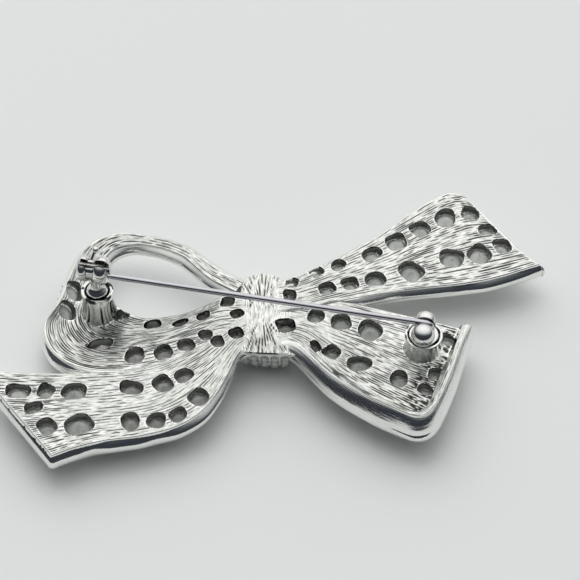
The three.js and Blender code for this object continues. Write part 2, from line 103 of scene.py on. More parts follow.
RIGHT_LOOP = [
    (0.5, 4.0, 6.1, 1.0, -4.0, 6.0, 0, 0, 0),
    (5.5, 4.6, 6.0, 6.1, -3.6, 5.8, -0.2, 0, 0),
    (10.9, 5.2, 5.9, 10.2, -7.0, 5.2, -0.3, 0, 0),
    (18.9, 4.5, 5.9, 15.2, -10.2, 5.0, -0.3, 0, 0.2),
    (24.0, 3.9, 6.0, 20.6, -12.8, 5.2, -0.4, 0, 0.4),
    (28.4, 3.2, 6.2, 24.4, -14.6, 5.6, -0.5, 0.3, 0.5),
]
# The rolled edge of the right loop: along its near side, round the corner and up its open end.
RIGHT_BAND = [
    (2.5, -2.0, 6.1, 2.0, -5.3, 5.9, 0, 0, 0),
    (6.1, -3.0, 6.3, 5.3, -5.2, 5.5, 0.4, 0, 0),
    (10.2, -6.4, 6.5, 11.3, -10.2, 5.2, 0.7, 0, 0),
    (14.9, -9.5, 6.7, 17.2, -13.3, 5.2, 0.8, 0, 0.1),
    (20.0, -12.0, 7.0, 21.2, -14.7, 5.35, 0.85, 0, 0.2),
    (23.4, -13.1, 7.1, 24.2, -15.4, 5.45, 0.8, 0, 0.1),
    (25.0, -12.3, 7.2, 26.3, -13.9, 5.65, 0.7, 0, 0),
    (25.8, -9.6, 7.3, 27.4, -10.3, 6.1, 0.55, 0, 0),
    (26.6, -5.2, 7.3, 28.2, -5.7, 6.4, 0.5, 0, 0),
    (27.2, -1.3, 7.3, 28.7, -1.8, 6.5, 0.45, 0, 0),
    (27.8, 3.3, 6.9, 29.3, 3.6, 6.5, 0.2, 0, 0),
]
BAND_CORNER = 5
KNOT = [
    (-3.9, 6.4, 6.05, 1.6, 7.3, 6.05, 0.1, 1.0, 0),
    (-4.3, 5.0, 6.0, 2.2, 5.6, 6.0, 0.25, 0.5, 0),
    (-3.6, 1.0, 5.95, 4.0, 1.4, 5.85, 0.3, 0, 0),
    (-2.8, -3.0, 5.95, 4.6, -3.0, 5.85, 0.3, 0, 0),
    (-2.0, -6.5, 6.0, 5.0, -5.6, 6.0, 0.2, -0.2, 0),
]
THICKNESS = 2.0
BAND_DEPTH = (2.0, 1.7)
RIM_DEPTH = 3.8

# How finely the back is made: one column every COLUMN across, one row every ROW along.
COLUMN = 0.11
ROW = 0.45
EDGE_ROUND = 0.3
EDGE_STEPS = 4
FRONT_COLUMNS = 14
BORDER_WIDTH = 0.9
HEM_SHARES = [0, 0.06, 0.16, 0.3, 0.5, 0.66, 0.82, 1.0]
# The back's edges lie inside the rails by EDGE_INSET, and the sides stand out past them: how far, and where,
# from back (0) to front (1).
EDGE_INSET = 0.2
SIDE_SWELL = 0.75
SIDE_PROFILE = [
    (0.1, 0.3), (0.2, 0.58), (0.3, 0.8), (0.4, 0.93), (0.55, 1.0), (0.7, 0.97), (0.85, 0.85), (0.95, 0.6),
]
END_WALL_ROOT = 0.4

# Engraved lines: how deep, how far apart, how wide, and how long before a line breaks off.
GROOVE_DEPTH = 0.09
GROOVE_PITCH = 0.4
LINE_WIDTH = 0.13
DASH_LENGTH = 1.1
POLISHED_LINES = 0.3


# ---- meshes ----

def put_in_scene(name, data):
    obj = bpy.data.objects.new(name, data)
    bpy.context.scene.collection.objects.link(obj)
    return obj


def add_values(obj, **values):
    """Point values, and an empty grain map where there is none, so that a mesh joins the ribbons."""
    for key, value in values.items():
        attribute = obj.data.attributes.new(key, "FLOAT", "POINT")
        full = np.broadcast_to(np.asarray(value, np.float32), (len(obj.data.vertices),))
        attribute.data.foreach_set("value", np.ascontiguousarray(full))
    if not obj.data.uv_layers:
        obj.data.uv_layers.new(name="grain")


def place(name, verts, faces, uvs=None, **point_values):
    """A mesh object from millimetres. uvs holds one pair, and each point value one number, per vertex."""
    mesh = bpy.data.meshes.new(name)
    mesh.from_pydata(np.asarray(verts, float) * MM, [], faces)
    mesh.update()
    obj = put_in_scene(name, mesh)
    if uvs is not None:
        corner = np.empty(len(mesh.loops), int)
        mesh.loops.foreach_get("vertex_index", corner)
        mesh.uv_layers.new(name="grain").data.foreach_set("uv", uvs[corner].ravel())
    if point_values:
        add_values(obj, **point_values)
    return obj


def object_from(bm, name):
    """A mesh object made from a bmesh, which is used up."""
    mesh = bpy.data.meshes.new(name)
    bm.to_mesh(mesh)
    bm.free()
    return put_in_scene(name, mesh)


def join(objects, name):
    """One object that holds the meshes of several, in place of them."""
    bm = bmesh.new()
    for obj in objects:
        bm.from_mesh(obj.data)
        bpy.data.objects.remove(obj)
    return object_from(bm, name)


def combine(obj, others, operation):
    """Joins to obj, or cuts from it, the solids in others, which are used up."""
    for other in others:
        modifier = obj.modifiers.new(other.name, "BOOLEAN")
        modifier.operation = operation
        modifier.solver = "MANIFOLD"
        modifier.object = other
    graph = bpy.context.evaluated_depsgraph_get()
    result = bpy.data.meshes.new_from_object(
        obj.evaluated_get(graph), preserve_all_data_layers=True, depsgraph=graph
    )
    obj.modifiers.clear()
    obj.data = result
    for other in others:
        bpy.data.objects.remove(other)
    return obj


def smooth_by_angle(obj, degrees=35):
    """Smooth faces, with edges sharper than the angle kept crisp."""
    bm = bmesh.new()
    bm.from_mesh(obj.data)
    limit = math.radians(degrees)
    for face in bm.faces:
        face.smooth = True
    for edge in bm.edges:
        edge.smooth = len(edge.link_faces) == 2 and edge.calc_face_angle(0) < limit
    bm.to_mesh(obj.data)
    bm.free()
    return obj


def circle(radius, count, shift=0):
    """Points evenly round a circle, the first shift steps on from +X."""
    turns = [2 * math.pi * (i + shift) / count for i in range(count)]
    return [(radius * math.cos(t), radius * math.sin(t)) for t in turns]


FROM_Z_TO = {
    "X": Matrix.Rotation(math.pi / 2, 4, "Y"),
    "Y": Matrix.Rotation(-math.pi / 2, 4, "X"),
    "Z": Matrix(),
}


def turned(name, profile, sides=48, axis="Z", at=(0, 0, 0)):
    """A solid of revolution from (radius, height) pairs that start and end on the axis."""
    verts = [(0, 0, profile[0][1])]
    for radius, height in profile[1:-1]:
        verts += [(x, y, height) for x, y in circle(radius, sides)]
    verts.append((0, 0, profile[-1][1]))
    last = len(verts) - 1
    rings = len(profile) - 2
    faces = []
    for i in range(sides):
        nxt = (i + 1) % sides
        faces.append((0, 1 + nxt, 1 + i))
        for r in range(rings - 1):
            low = 1 + r * sides
            faces.append((low + i, low + nxt, low + sides + nxt, low + sides + i))
        top = 1 + (rings - 1) * sides
        faces.append((top + i, top + nxt, last))
    obj = place(name, verts, faces)
    obj.data.transform(Matrix.Translation(Vector(at) * MM) @ FROM_Z_TO[axis])
    return obj


def rounded_rod(name, radius, low, high, rounding, sides=48, axis="Z", at=(0, 0, 0), steps=5):
    """A rod with rounded ends."""
    core = radius - rounding
    turns = [math.pi / 2 * i / steps for i in range(steps + 1)]
    profile = [(0, low)]
    profile += [(core + rounding * math.sin(t), low + rounding - rounding * math.cos(t)) for t in turns]
    profile += [(core + rounding * math.cos(t), high - rounding + rounding * math.sin(t)) for t in turns]
    profile.append((0, high))
    return turned(name, profile, sides, axis, at)


def ball_profile(radius, middle, steps=16):
    """What turned() makes a ball from, with its middle at a height."""
    turns = [math.pi * i / steps for i in range(steps + 1)]
    return [(radius * math.sin(t), middle - radius * math.cos(t)) for t in turns]


def block(name, low, high):
    """A plain box between two corners, used to cut slots."""
    corners = [(x, y, z) for x in (low[0], high[0]) for y in (low[1], high[1]) for z in (low[2], high[2])]
    faces = [(0, 1, 3, 2), (4, 6, 7, 5), (0, 4, 5, 1), (2, 3, 7, 6), (0, 2, 6, 4), (1, 5, 7, 3)]
    return place(name, corners, faces)


def skin(rings, count):
    """The faces of a closed solid over rings of count points each, with a cap at each end."""
    faces = []
    for r in range(rings - 1):
        for i in range(count):
            k = (i + 1) % count
            faces.append((r * count + i, r * count + k, (r + 1) * count + k, (r + 1) * count + i))
    faces.append(tuple(range(count - 1, -1, -1)))
    faces.append(tuple((rings - 1) * count + i for i in range(count)))
    return faces


def loft(name, rings, matrix=None):
    """A closed solid through rings of one length, from the lowest to the highest."""
    verts = [point for ring in rings for point in ring]
    if matrix is not None:
        verts = [tuple(matrix @ Vector(point)) for point in verts]
    return place(name, verts, skin(len(rings), len(rings[0])))


def face_out(obj):
    """Turns a closed mesh's faces to the outside."""
    bm = bmesh.new()
    bm.from_mesh(obj.data)
    inside_out = bm.calc_volume(signed=True) < 0
    bm.free()
    if inside_out:
        obj.data.flip_normals()
    return obj


# ---- noise ----

def noise(x, y, seed):
    """Smooth noise from 0 to 1 on a lattice with one value at every whole x and y."""
    size = 256
    lattice = np.random.default_rng(seed).random((size, size))
    xi, yi = np.floor(x).astype(int), np.floor(y).astype(int)
    fx, fy = x - xi, y - yi
    fx, fy = fx * fx * (3 - 2 * fx), fy * fy * (3 - 2 * fy)

    def pick(i, j):
        return lattice[i % size, j % size]

    low = pick(xi, yi) * (1 - fx) + pick(xi + 1, yi) * fx
    high = pick(xi, yi + 1) * (1 - fx) + pick(xi + 1, yi + 1) * fx
    return low * (1 - fy) + high * fy


def step(low, high, value):
    """0 below low, 1 above high, smooth between."""
    t = np.clip((value - low) / (high - low), 0, 1)
    return t * t * (3 - 2 * t)


def dashes(phase, pitch_mm, along, seed):
    """Engraved lines at every whole phase, pitch_mm apart, from 0 to 1 deep. Each breaks off at its own
    places. Where the lines crowd together, every second one, and then every fourth, fades out."""
    row = np.round(phase)
    off_line = np.abs(phase - row) * pitch_mm
    cut = 1 - step(0.25 * LINE_WIDTH, LINE_WIDTH, off_line)
    crowd_2, crowd_4 = step(0.24, 0.32, pitch_mm), step(0.12, 0.16, pitch_mm)
    kept = np.where(row % 2 == 1, crowd_2, np.where(row % 4 == 2, crowd_4, 1))
    breaks = noise(row * 7.31 + 0.5, along / DASH_LENGTH + row * 3.7, seed)
    return cut * kept * step(0.3, 0.55, breaks)


def grooves(across, along, ratio, seed):
    """The engraving of a ribbon: parallel lines that close up, by ratio, where the ribbon narrows."""
    wander = (noise(across * 0.25, along / 7, seed + 3) - 0.5) * 0.5
    depth = dashes((across + wander) / GROOVE_PITCH + 40, GROOVE_PITCH * ratio, along, seed)
    return depth * np.clip(0.6 + 0.8 * noise(across / 2.5, along / 4, seed + 2), 0, 1)


# ---- ribbons ----

def rails(stations, along):
    """The stations' values at each along, smooth through every station."""
    points = np.array(stations, float)
    last = len(points) - 1
    i = np.clip(np.floor(along).astype(int), 0, last - 1)
    t = (along - i)[:, None]
    here, nxt = points[i], points[i + 1]
    before = np.where((i > 0)[:, None], points[np.maximum(i - 1, 0)], 2 * here - nxt)
    after = np.where((i + 2 <= last)[:, None], points[np.minimum(i + 2, last)], 2 * nxt - here)
    bend = (1 - t) * (here - (before + nxt) / 2) + t * (nxt - (here + after) / 2)
    return here * (1 - t) + nxt * t + t * (1 - t) * bend


def back_surface(stations, along, across):
    """Points on a ribbon's back, for two arrays of one shape."""
    value = rails(stations, along.ravel()).reshape(*along.shape, -1)
    a, b = value[..., 0:3], value[..., 3:6]
    hump = 4 * across * (1 - across)
    point = a + (b - a) * across[..., None]
    chord = (b - a)[..., :2]
    forward = np.stack([-chord[..., 1], chord[..., 0]], -1)
    forward /= np.maximum(np.linalg.norm(forward, axis=-1, keepdims=True), 1e-9)
    point[..., :2] += forward * (value[..., 7] * hump)[..., None]
    point[..., 2] += value[..., 6] * hump
    return point


def edge_drop(distance, rounding):
    """How far a rounded edge falls away at a distance from it."""
    reach = np.clip(rounding - distance, 0, rounding)
    return rounding - np.sqrt(np.maximum(rounding**2 - reach**2, 0))


def near_edge():
    """Distances from an edge that follow its rounding, closer together towards the edge."""
    return [EDGE_ROUND * (1 - math.cos(math.pi / 2 * i / EDGE_STEPS)) for i in range(EDGE_STEPS)]


def columns_of(width):
    """Shares across a strip: even columns in the middle, closer ones round each edge."""
    near = [distance / width for distance in near_edge()]
    count = max(int((width - 2 * EDGE_ROUND) / COLUMN), 4)
    middle = np.linspace(EDGE_ROUND / width, 1 - EDGE_ROUND / width, count)
    return np.array([*near, *middle, *[1 - share for share in reversed(near)]])


def rows_of(length, round_ends):
    """Distances along a strip: even rows, with closer ones round each rounded end."""
    stops = list(np.linspace(0, length, max(int(length / ROW), 6)))
    if round_ends[0]:
        stops = near_edge() + [stop for stop in stops if stop > EDGE_ROUND]
    if round_ends[1]:
        stops = [stop for stop in stops if stop < length - EDGE_ROUND]
        stops += [length - distance for distance in reversed(near_edge())]
    return np.array(stops)


def inset(stations, shares, overhang=0.0):
    """Shares between the back's two edges, as shares between the rails. The far edge lies out by overhang."""
    points = np.array(stations, float)
    width = np.linalg.norm(points[:, 3:6] - points[:, 0:3], axis=1).max()
    edge = EDGE_INSET / width
    return edge + (1 - 2 * edge + overhang / width) * shares


def strip_side(top, middle, bottom, swell, uneven):
    """A side's lines from back to front. It leans out below the back's edge, stands, and draws in again."""
    outward = top - middle
    outward[:, 2] = 0
    outward /= np.maximum(np.linalg.norm(outward, axis=1, keepdims=True), 1e-9)
    lines = []
    for share, out in SIDE_PROFILE:
        lines.append(top * (1 - share) + bottom * share + outward * (swell * out * uneven)[:, None])
    return lines


def strip(name, stations, seed, front, span=None, round_ends=(False, False), lip=0.0, engraving=None,
          pitted=None, polished=None, overhang=0.0):
    """A ribbon as one closed solid: engraved back, rounded edges, smooth sides and front.
    front(back points, along, across) gives the height of the front below them. From along = pitted on, the
    back is rough with casting pits, and from across = polished on it is nearly smooth. The far side swells
    less by overhang, where the back's far edge lies out instead."""
    start, end = span or (0, len(stations) - 1)
    guide = np.linspace(start, end, 200)
    middle = back_surface(stations, guide, np.full_like(guide, 0.5))
    run = np.concatenate([[0], np.cumsum(np.linalg.norm(np.diff(middle, axis=0), axis=1))])
    value = rails(stations, guide)
    widths = np.linalg.norm(value[:, 3:6] - value[:, 0:3], axis=1)
    width = widths.max()
    stops = rows_of(run[-1], round_ends)
    along = np.interp(stops, run, guide)
    ratio = (np.interp(stops, run, widths) / width)[:, None]
    from_end, end_drop = np.full_like(stops, BORDER_WIDTH), np.zeros_like(stops)
    for to_end, is_round in zip((stops, run[-1] - stops), round_ends):
        if is_round:
            from_end = np.minimum(from_end, to_end)
            end_drop = np.maximum(end_drop, edge_drop(to_end, EDGE_ROUND))
    u, v = np.meshgrid(along, columns_of(width), indexing="ij")
    distance = np.minimum(v, 1 - v) * width
    back = back_surface(stations, u, inset(stations, v, overhang))
    across_mm = v * width
    along_mm = np.broadcast_to(stops[:, None], u.shape)
    depth = engraving(back, seed) if engraving else grooves(across_mm, along_mm, ratio, seed)
    brushed = step(0.15, 0.45, distance) * step(0.15, 0.5, from_end)[:, None]
    if polished is not None:
        brushed = brushed * (POLISHED_LINES + (1 - POLISHED_LINES) * step(polished + 0.1, polished, v))
    if pitted is not None:
        pits = step(0.5, 0.8, noise(across_mm / 0.33, along_mm / 0.4, seed + 5))
        depth = np.maximum(depth, pits * step(pitted, pitted + 0.5, u))
    groove = depth * brushed
    drop = edge_drop(distance, EDGE_ROUND) - lip * step(0.9, 0.35, distance) * (distance > 0)
    scale = np.clip(ratio, 0.6, 1)
    back[..., 2] -= np.maximum(drop, end_drop[:, None]) + groove * GROOVE_DEPTH * scale
    # The front is smooth: it has fewer columns, and a border along each edge.
    hem = np.array(HEM_SHARES) * BORDER_WIDTH / width
    shares = np.array([*hem, *np.linspace(hem[-1], 1 - hem[-1], FRONT_COLUMNS)[1:-1], *(1 - hem[::-1])])
    u, v = np.meshgrid(along, shares, indexing="ij")
    face = back_surface(stations, u, inset(stations, v, overhang))
    face[..., 2] = front(face, u, v)
    distance = np.minimum(v, 1 - v) * width
    flat = step(0.45 * BORDER_WIDTH, BORDER_WIDTH, np.minimum(distance, from_end[:, None]))
    face[..., 2] -= rails(stations, along)[:, 8, None] * (1 - flat)
    face[..., 2] += np.maximum(edge_drop(distance, EDGE_ROUND), end_drop[:, None])
    uneven = 1 + 0.5 * (noise(stops / 3.1, stops * 0 + 0.5, seed + 4) - 0.5)
    columns = back.shape[1]
    middle = back[:, columns // 2]
    near_side = strip_side(back[:, 0], middle, face[:, 0], SIDE_SWELL, uneven)
    far_side = strip_side(back[:, -1], middle, face[:, -1], SIDE_SWELL - overhang, uneven)
    lines = [back[:, j] for j in range(columns)] + far_side
    lines += [face[:, j] for j in reversed(range(face.shape[1]))] + near_side[::-1]
    verts = np.stack(lines, 1)
    shape = verts.shape[:2]
    uv = np.zeros((*shape, 2))
    uv[:, :columns, 0] = across_mm
    uv[:, columns:, 0] = width + 2
    uv[:, :, 1] = stops[:, None]
    on_back = np.zeros((2, *shape))
    # The groove value is kept for the colour too, where it paints the lines and pits darker: painted shade,
    # partly tarnish.
    on_back[:, :, :columns] = brushed, groove * scale
    brushed, groove = on_back.reshape(2, -1)
    uvs = uv.reshape(-1, 2)
    return face_out(place(name, verts.reshape(-1, 3), skin(*shape), uvs, brushed=brushed, groove=groove))


def end_wall(name, stations):
    """The wall of a ribbon's end, standing out as the sides do and carried round both corners."""
    last = np.full(30, len(stations) - 1.0)
    shares = inset(stations, np.linspace(0, 1, 30))
    edge = back_surface(stations, last, shares)

    def level(run):
        return run * (1, 1, 0) / np.linalg.norm(run[:, :2], axis=1, keepdims=True)

    onward = level(edge - back_surface(stations, last - 0.05, shares))
    sideways = level(edge - edge[::-1])
    turns = np.linspace(0, math.pi / 2, 6)[:-1]
    path = [(edge[0], sideways[0] * math.cos(t) + onward[0] * math.sin(t)) for t in turns]
    path += list(zip(edge, onward))
    path += [(edge[-1], sideways[-1] * math.cos(t) + onward[-1] * math.sin(t)) for t in reversed(turns)]
    tall = THICKNESS + stations[-1][8] - 2 * EDGE_ROUND
    profile = [(0.0, 0.0), *SIDE_PROFILE, (1.0, 0.3)]
    rings = []
    for point, outward in path:
        ring = [(share, outward * out * SIDE_SWELL) for share, out in profile]
        ring += [(share, -outward * END_WALL_ROOT) for share in (1, 0)]
        rings.append([tuple(point + shift - (0, 0, EDGE_ROUND + share * tall)) for share, shift in ring])
    wall = face_out(loft(name, rings))
    add_values(wall, brushed=0.0, groove=0.0)
    return wall


def plate_front(back, along, across):
    return back[..., 2] - THICKNESS


def band_front(back, along, across):
    """Deep at its inner edge and thin at its outer one, and past the corner ever deeper, to the rim's end."""
    depth = BAND_DEPTH[0] * (1 - across) + BAND_DEPTH[1] * across
    up_the_rim = np.clip((along - BAND_CORNER) / (len(RIGHT_BAND) - 1 - BAND_CORNER), 0, 1)
    return back[..., 2] - (depth + (RIM_DEPTH - depth) * up_the_rim)


KNOT_FLAT_Z = 0.25
KNOT_EDGE_DEPTH, KNOT_DEPTH = 0.6, 6.4


def knot_front(back, along, across):
    """The knot's front is a barrel: deep in the middle, thin at its two ends, drawn in at its sides."""
    share = 2 * along / (len(KNOT) - 1) - 1
    lengthwise = np.sqrt(np.maximum(1 - np.abs(share) ** 3, 0))
    sideways = 1 - 0.35 * np.abs(2 * across - 1) ** 4
    depth = KNOT_EDGE_DEPTH + (KNOT_DEPTH - KNOT_EDGE_DEPTH) * lengthwise * sideways
    return np.maximum(back[..., 2] - depth, KNOT_FLAT_Z)


KNOT_CENTRE = (0.0, 0.4)
FAN_LINES = 12


def fan_grooves(back, seed):
    """The knot's back is engraved in lines that fan out from its middle, far and near."""
    dx = back[..., 0] - KNOT_CENTRE[0]
    dy = back[..., 1] - KNOT_CENTRE[1]
    radius = np.hypot(dx, dy)
    angle = np.arctan2(dy, dx)
    depth = dashes((angle + math.pi) * FAN_LINES, radius / FAN_LINES, radius, seed)
    steepness = np.abs(dy) / np.maximum(radius, 1e-6)
    return depth * step(0.3, 0.6, steepness) * step(1.2, 2.2, radius)


# ---- the findings' places, from the frame ----

def joint_place(name):
    """Where a joint is, in millimetres."""
    joint = next(j for j in frame["joints"] if j["name"] == name)
    return Vector(joint["pos_m"]) / MM


RIVET = joint_place("pin_hinge")
CATCH = joint_place("catch_turn")
PIN_Y = RIVET.y
WIRE = 0.42
EYE = 1.0
# The pin rises a little towards the catch, and lies near the foot of the catch's bore.
PIN_TILT = math.radians(0.61)
PIN_Z = RIVET.z + EYE + (RIVET.x - CATCH.x) * math.tan(PIN_TILT)
POST_X = CATCH.x + 0.65


# ---- posts ----

POST_LIP = 0.16


def post(name, x, foot, rim, radius, flare, cup, cup_depth, flutes):
    """A cast post with a cupped, rounded and worn rim. Flutes are soft grooves down its side. The flutes and
    the cup are painted darker as painted shade, and worn patches on the rim darker as wear.
    """
    profile = [(0.0, foot)]
    for height in np.linspace(foot, rim - POST_LIP, 24):
        share = (height - foot) / (rim - foot)
        profile.append((radius + flare * (1 - share) ** 3 - 0.12 * math.sin(math.pi * share), height))
    middle, half = (radius + cup) / 2, (radius - cup) / 2
    for i in range(9):
        angle = math.pi * i / 8
        profile.append((middle + half * math.cos(angle), rim - POST_LIP + POST_LIP * math.sin(angle)))
    profile += [(cup, rim - cup_depth + 0.1), (cup - 0.15, rim - cup_depth), (0.0, rim - cup_depth)]
    obj = turned(name, profile, 96)
    co = np.empty(len(obj.data.vertices) * 3)
    obj.data.vertices.foreach_get("co", co)
    co = co.reshape(-1, 3) / MM
    out = np.hypot(co[:, 0], co[:, 1])
    angle = np.abs(np.arctan2(co[:, 1], co[:, 0]))
    down = step(rim - 0.4, rim - 2.0, co[:, 2]) * (out > radius * 0.8)
    cut = flutes * down * noise(angle * 8, co[:, 2] / 4, SEED + 80) ** 2
    co[:, :2] *= (1 - cut / np.maximum(out, 1e-6))[:, None]
    # Painted shade: the flutes and the inside of the cup are darkened in colour. The worn patches on the rim
    # are wear.
    in_cup = (out < cup + 0.02) & (co[:, 2] < rim - 0.1)
    on_rim = (out > cup) * step(rim - 0.7, rim - 0.3, co[:, 2])
    worn = 0.8 * step(0.4, 0.75, noise(angle * 2.5, out * 4, SEED + 81)) * on_rim
    shade_and_wear = np.maximum.reduce([np.clip(cut * 2.4, 0, 1), in_cup, worn])
    obj.data.vertices.foreach_set("co", ((co + (x, PIN_Y, 0)) * MM).ravel())
    add_values(obj, brushed=0.5 * down, groove=shade_and_wear)
    return obj


# ---- stones ----

HOLE_SIDES = 32
SEAT_DEPTH = 0.95
# How far a crystal reaches past its opening, and its table past the ribbon's front.
STONE_OVER = 0.12
STONE_PROUD = 0.3
# The opening's height from the back surface and its share of full size, ring by ring.
BEVEL_RINGS = [(-0.3, 1.0), (-0.12, 1.02), (-0.03, 1.06), (0.04, 1.13), (0.9, 1.3)]


def turn_to_back(along, across):
    """Turns +Z square to a surface, towards its back, from two directions in it."""
    normal = along.cross(across).normalized()
    if normal.z < 0:
        normal.negate()
    return Vector((0, 0, 1)).rotation_difference(normal).to_matrix().to_4x4()


class Stone:
    """A crystal and its hole: where it sits on a ribbon's back, which way the hole points, and its size."""

    def __init__(self, stations, x, y, radius, number):
        along = np.linspace(0, len(stations) - 1, 24 * len(stations))
        across = np.linspace(0.02, 0.98, 60)
        u, v = np.meshgrid(along, across, indexing="ij")
        points = back_surface(stations, u, v)
        nearest = np.argmin((points[..., 0] - x) ** 2 + (points[..., 1] - y) ** 2)
        i, j = np.unravel_index(nearest, u.shape)
        here = Vector(points[i, j])
        on = Vector(points[min(i + 1, len(along) - 1), j]) - Vector(points[max(i - 1, 0), j])
        over = Vector(points[i, min(j + 1, 59)]) - Vector(points[i, max(j - 1, 0)])
        self.radius = radius
        self.number = number
        self.turn = turn_to_back(on, over)
        self.place = Matrix.Translation(Vector((x, y, here.z))) @ self.turn
        self.heading = math.atan2(on.y, on.x)
        rng = np.random.default_rng(SEED + number)
        self.lean = self.heading + rng.uniform(-0.5, 0.5)
        self.power = rng.uniform(2.1, 3.6)
        self.stretch = rng.uniform(0.95, 1.18)
        self.wobble = rng.uniform(0, 2 * math.pi, 2)

    def turned_to_lean(self, x, y):
        c, s = math.cos(self.lean), math.sin(self.lean)
        return x * c - y * s, x * s + y * c

    def outline(self, scale):
        """The back opening: a rounded square to an oval, a little uneven, lying along the ribbon."""
        points = []
        for i in range(HOLE_SIDES):
            angle = 2 * math.pi * i / HOLE_SIDES
            c, s = math.cos(angle), math.sin(angle)
            reach = (abs(c) ** self.power + abs(s) ** self.power) ** (-1 / self.power)
            uneven = 0.05 * math.sin(2 * angle + self.wobble[0]) + 0.04 * math.sin(3 * angle + self.wobble[1])
            r = self.radius * scale * reach * (1 + uneven) * 0.95
            points.append(self.turned_to_lean(r * c * self.stretch, r * s / self.stretch))
        return points


def hole_cutter(stone):
    """The hole's solid: a round seat from the front, the uneven opening behind it, and a soft back edge."""
    seat = [stone.turned_to_lean(x, y) for x, y in circle(stone.radius + STONE_OVER + 0.05, HOLE_SIDES)]
    step_z = -THICKNESS + SEAT_DEPTH
    rings = [[(x, y, z) for x, y in seat] for z in (-THICKNESS - 1.2, step_z - 0.1)]
    rings.append([(x, y, step_z) for x, y in stone.outline(0.98)])
    rings += [[(x, y, z) for x, y in stone.outline(scale)] for z, scale in BEVEL_RINGS]
    return loft(f"hole_{stone.number}", rings, stone.place)


def cut_stone(name, radius, matrix, table_z, crown=0.34, pavilion=0.82):
    """A brilliant: sixteen girdle corners, an eight-sided table that faces the front, kites to the culet."""
    sides = 16

    def ring(r, z, n, shift):
        return [(x, y, z) for x, y in circle(r, n, shift)]

    girdle = table_z + crown * radius
    verts = ring(0.56 * radius, table_z, 8, 0)
    verts += ring(0.82 * radius, table_z + 0.5 * crown * radius, 8, 0.5)
    verts += ring(radius, girdle, sides, 0)
    verts += ring(radius, girdle + 0.05 * radius, sides, 0)
    verts += ring(0.48 * radius, girdle + 0.05 * radius + 0.56 * pavilion * radius, 8, 0.5)
    verts.append((0, 0, girdle + 0.05 * radius + pavilion * radius))
    faces = [tuple(range(7, -1, -1))]
    for i in range(8):
        k = (i + 1) % 8
        star, star_next, mid, mid_next, tip = 8 + i, 8 + k, 48 + i, 48 + k, 56
        low = [16 + (2 * i + n) % sides for n in range(3)]
        high = [corner + sides for corner in low]
        faces += [
            (i, k, star), (k, star_next, low[2], star), (star, low[1], low[0]), (star, low[2], low[1]),
            (low[0], low[1], high[1], high[0]), (low[1], low[2], high[2], high[1]),
            (high[0], high[1], mid), (high[1], high[2], mid), (mid, high[2], mid_next, tip),
        ]
    obj = place(name, [tuple(matrix @ Vector(v)) for v in verts], faces)
    bm = bmesh.new()
    bm.from_mesh(obj.data)
    bmesh.ops.recalc_face_normals(bm, faces=bm.faces)
    bm.to_mesh(obj.data)
    bm.free()
    return obj


BEAD_RADIUS, BEAD_OUT, BEAD_PROUD, BEAD_APART = 0.34, 0.18, 0.05, 0.75


def front_beads(stones):
    """Four small round beads that hold each crystal on the front, and none where two would meet."""
    bm = bmesh.new()
    centres = []
    for stone in stones:
        for quarter in range(4):
            angle = stone.heading + math.pi * (0.25 + 0.5 * quarter)
            reach = stone.radius + STONE_OVER + BEAD_OUT
            local = Vector((reach * math.cos(angle), reach * math.sin(angle), -THICKNESS - BEAD_PROUD))
            centre = stone.place @ local
            if all((centre - other).length > BEAD_APART for other in centres):
                centres.append(centre)
                at = Matrix.Translation(centre)
                bmesh.ops.create_icosphere(bm, subdivisions=2, radius=BEAD_RADIUS, matrix=at)
    bmesh.ops.scale(bm, vec=(MM, MM, MM), verts=bm.verts)
    obj = object_from(bm, "beads")
    add_values(obj, brushed=0.0, groove=0.0)
    return obj


# ---- the bow, put together ----

RIBBONS = {"left_loop": LEFT_LOOP, "left_tail": LEFT_TAIL, "right_tail": RIGHT_TAIL, "right_loop": RIGHT_LOOP}
# Two more holes, too close to the knot for a CAD crystal: ribbon, x, y and diameter.
OPEN_HOLES = [("left_loop", -3.6, 0.0, 1.8), ("right_loop", 8.2, -3.2, 1.7)]
CAD_STONE_GAP = 0.25
CAD_STONE_MIDDLE = 1.45


def stones_on(ribbon):
    """The crystals of one ribbon, placed from their CAD solids, with their node names."""
    found = []
    for node in sorted(n for n in frame["nodes"] if n.startswith(f"crystal_{ribbon}_")):
        low, high = [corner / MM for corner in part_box(node)]
        middle = (low + high) / 2
        radius = max(high.x - low.x, high.y - low.y) / 2 + CAD_STONE_GAP
        number = 1 + int(node.rsplit("_", 1)[1]) + 20 * list(RIBBONS).index(ribbon)
        guess = Stone(RIBBONS[ribbon], middle.x, middle.y, radius, number)
        shift = guess.turn.to_3x3() @ Vector((0, 0, CAD_STONE_MIDDLE))
        found.append((Stone(RIBBONS[ribbon], middle.x + shift.x, middle.y + shift.y, radius, number), node))
    return found


cad_stones = {ribbon: stones_on(ribbon) for ribbon in RIBBONS}
open_stones = [Stone(RIBBONS[r], x, y, d / 2, 90 + i) for i, (r, x, y, d) in enumerate(OPEN_HOLES)]
all_stones = [stone for found in cad_stones.values() for stone, node in found] + open_stones

